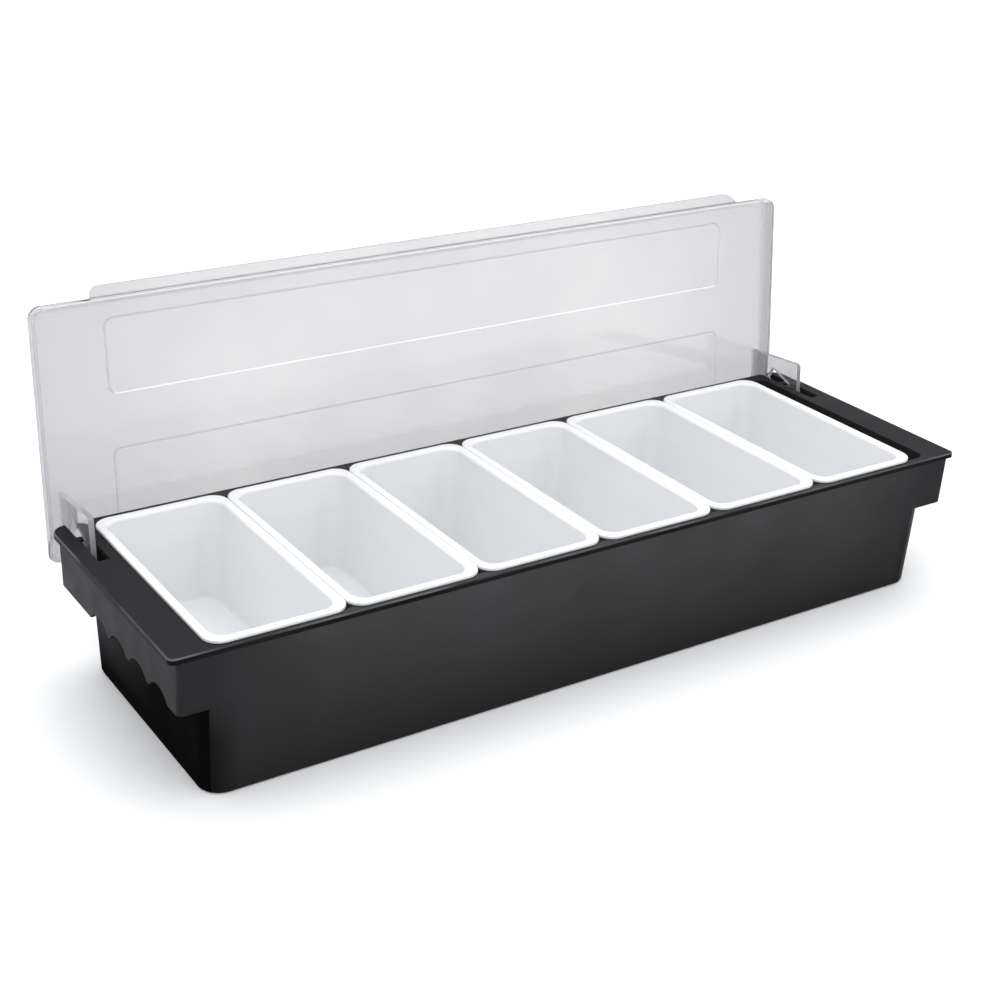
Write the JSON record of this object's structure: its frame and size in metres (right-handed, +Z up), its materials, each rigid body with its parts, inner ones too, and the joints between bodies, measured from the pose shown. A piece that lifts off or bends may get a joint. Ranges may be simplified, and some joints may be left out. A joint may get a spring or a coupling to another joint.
{
  "type": "condiment caddy with hinged lid",
  "caption": "Long countertop condiment caddy: black base with end grips, a row of lift-out inserts, and one clear lid that swings back on two hinge arms.",
  "frame": {"origin": "middle of the underside of the base, on the table", "axes": "+Z up, X along the length, -Y is the front, where the lid opens; the lid is stored open, leaning back on its stop"},
  "size_m": [0.5, 0.1812, 0.2034],
  "materials": {
    "base_plastic": "semi-gloss moulded",
    "insert_plastic": "semi-gloss moulded",
    "lid_plastic": "clear polished"
  },
  "bodies": {
    "base": {"base": "base_plastic"},
    "insert_1": {"insert_1": "insert_plastic"},
    "insert_2": {"insert_2": "insert_plastic"},
    "insert_3": {"insert_3": "insert_plastic"},
    "insert_4": {"insert_4": "insert_plastic"},
    "insert_5": {"insert_5": "insert_plastic"},
    "insert_6": {"insert_6": "insert_plastic"},
    "lid": {"lid": "lid_plastic"}
  },
  "joints": [
    {"name": "lid_hinge", "type": "hinge", "parent": "base", "child": "lid", "pos_m": [0, 0.06465, 0.0662], "axis": [-1, 0, 0], "range_deg": [-94.5, 0]},
    {"name": "insert_1_lift", "type": "slide", "parent": "base", "child": "insert_1", "axis": [0, 0, 1], "range_m": [0, 0.12]},
    {"name": "insert_2_lift", "type": "slide", "parent": "base", "child": "insert_2", "axis": [0, 0, 1], "range_m": [0, 0.12]},
    {"name": "insert_3_lift", "type": "slide", "parent": "base", "child": "insert_3", "axis": [0, 0, 1], "range_m": [0, 0.12]},
    {"name": "insert_4_lift", "type": "slide", "parent": "base", "child": "insert_4", "axis": [0, 0, 1], "range_m": [0, 0.12]},
    {"name": "insert_5_lift", "type": "slide", "parent": "base", "child": "insert_5", "axis": [0, 0, 1], "range_m": [0, 0.12]},
    {"name": "insert_6_lift", "type": "slide", "parent": "base", "child": "insert_6", "axis": [0, 0, 1], "range_m": [0, 0.12]}
  ]
}
